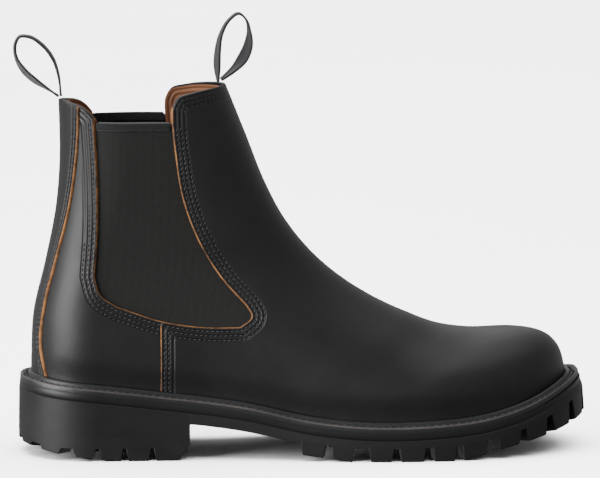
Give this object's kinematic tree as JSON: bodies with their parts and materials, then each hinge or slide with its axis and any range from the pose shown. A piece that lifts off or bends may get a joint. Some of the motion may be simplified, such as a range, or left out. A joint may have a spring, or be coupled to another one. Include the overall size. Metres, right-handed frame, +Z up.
{
  "type": "chelsea boot",
  "caption": "Ankle-high slip-on boot, right foot: black leather, elastic side gores, webbing pull loops at front and back, storm welt and lugged rubber sole with a block heel",
  "frame": {"origin": "on the ground under the middle of the boot's bounding box, loops included", "axes": "+X to the toe, +Y to the inner side of the foot, +Z up; the tread rests on z = 0"},
  "size_m": [0.306, 0.1152, 0.2355],
  "materials": {
    "vamp": "smooth, satin, charcoal black",
    "quarter_lateral": "smooth, satin, charcoal black",
    "quarter_medial": "smooth, satin, charcoal black",
    "backstay": "smooth, satin, charcoal black",
    "gore_lateral": "fine-ribbed elastic webbing, matt",
    "gore_medial": "fine-ribbed elastic webbing, matt",
    "gore_binding_lateral": "folded woven tape, matt",
    "gore_binding_medial": "folded woven tape, matt",
    "vamp_lining": "tan lining leather, matt",
    "quarter_lining": "tan lining leather, matt",
    "toe_puff": "stiffened board, matt",
    "heel_counter": "stiffened board, matt",
    "sock_liner": "tan leather over foam, matt",
    "insole_board": "vegetable-tanned board, matt",
    "insole_rib": "canvas tape, matt",
    "cork_filler": "granulated cork, matt",
    "shank": "brushed spring steel",
    "welt": "waxed black leather, slightly glossy",
    "midsole": "black, smooth, satin",
    "outsole": "black, moulded, matt",
    "front_pull_loop": "woven tape, herringbone, matt",
    "rear_pull_loop": "woven tape, herringbone, matt"
  },
  "bodies": {
    "boot": {"vamp": "vamp", "quarter_lateral": "quarter_lateral", "quarter_medial": "quarter_medial", "backstay": "backstay", "gore_lateral": "gore_lateral", "gore_medial": "gore_medial", "gore_binding_lateral": "gore_binding_lateral", "gore_binding_medial": "gore_binding_medial", "vamp_lining": "vamp_lining", "quarter_lining": "quarter_lining", "toe_puff": "toe_puff", "heel_counter": "heel_counter", "sock_liner": "sock_liner", "insole_board": "insole_board", "insole_rib": "insole_rib", "cork_filler": "cork_filler", "shank": "shank", "welt": "welt", "midsole": "midsole", "outsole": "outsole"},
    "front_loop": {"front_pull_loop": "front_pull_loop"},
    "rear_loop": {"rear_pull_loop": "rear_pull_loop"}
  },
  "joints": [
    {"name": "front_loop_bend", "type": "hinge", "parent": "boot", "child": "front_loop", "pos_m": [-0.04355, 0.00043, 0.199], "axis": [0, 1, 0], "range_deg": [-75, 32], "stiffness_Nm_per_rad": 0.01},
    {"name": "rear_loop_bend", "type": "hinge", "parent": "boot", "child": "rear_loop", "pos_m": [-0.12865, 0.00043, 0.1913], "axis": [0, 1, 0], "range_deg": [-22, 70], "stiffness_Nm_per_rad": 0.01}
  ]
}
